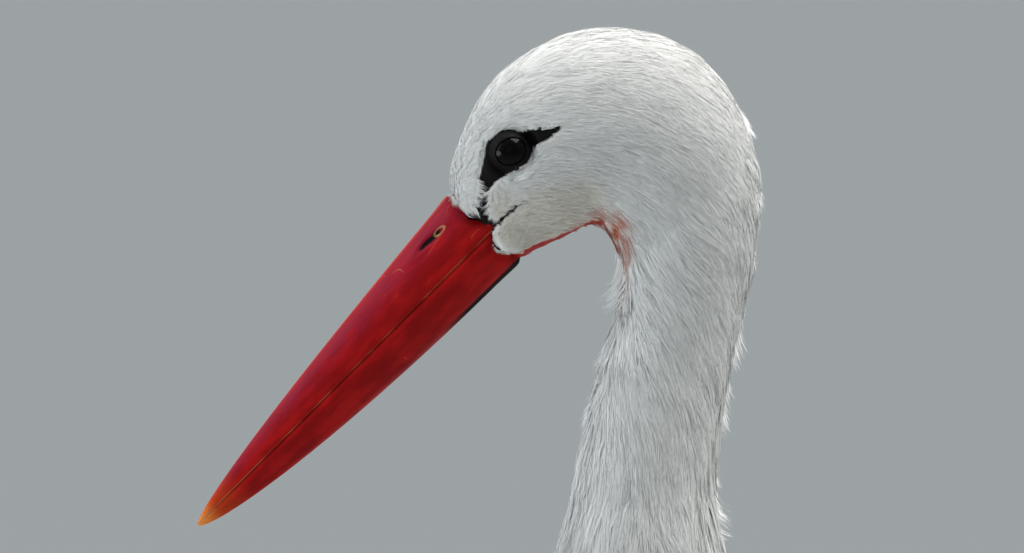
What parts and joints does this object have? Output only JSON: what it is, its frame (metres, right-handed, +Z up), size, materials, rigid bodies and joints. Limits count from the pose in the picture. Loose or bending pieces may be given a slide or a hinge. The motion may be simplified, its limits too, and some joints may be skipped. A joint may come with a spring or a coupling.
{
  "type": "white stork",
  "caption": "White stork standing at rest, with its long bill pointing down, neck drawn up in a bend, wings folded over the back and tail, and long bare legs.",
  "frame": {"origin": "on the floor, under the middle of the bird's box", "axes": "+Z up, the bill towards -X, the bird's left side towards -Y"},
  "size_m": [0.7508, 0.2164, 1.0194],
  "materials": {
    "white_plumage": "soft white feathers",
    "black_plumage": "black feathers with a faint gloss",
    "red_horn": "smooth red horn",
    "red_scales": "red scaly skin",
    "claw_horn": "dark brown horn",
    "eye_dark": "wet and glossy"
  },
  "bodies": {
    "root": {"bill_lower": "red_horn", "bill_upper": "red_horn", "claw_left_hind": "claw_horn", "claw_left_inner": "claw_horn", "claw_left_middle": "claw_horn", "claw_left_outer": "claw_horn", "claw_right_hind": "claw_horn", "claw_right_inner": "claw_horn", "claw_right_middle": "claw_horn", "claw_right_outer": "claw_horn", "eye_left": "eye_dark", "eye_right": "eye_dark", "foot_left": "red_scales", "foot_right": "red_scales", "head": "white_plumage", "neck_lower": "white_plumage", "neck_middle": "white_plumage", "neck_upper": "white_plumage", "shank_left": "red_scales", "shank_right": "red_scales", "tail": "white_plumage", "tarsus_left": "red_scales", "tarsus_right": "red_scales", "thigh_left": "white_plumage", "thigh_right": "white_plumage", "toe_left_hind": "red_scales", "toe_left_inner": "red_scales", "toe_left_middle": "red_scales", "toe_left_outer": "red_scales", "toe_right_hind": "red_scales", "toe_right_inner": "red_scales", "toe_right_middle": "red_scales", "toe_right_outer": "red_scales", "trunk": "white_plumage", "wing_left_coverts": "white_plumage", "wing_left_primaries": "black_plumage", "wing_left_secondaries": "black_plumage", "wing_right_coverts": "white_plumage", "wing_right_primaries": "black_plumage", "wing_right_secondaries": "black_plumage"}
  },
  "joints": []
}
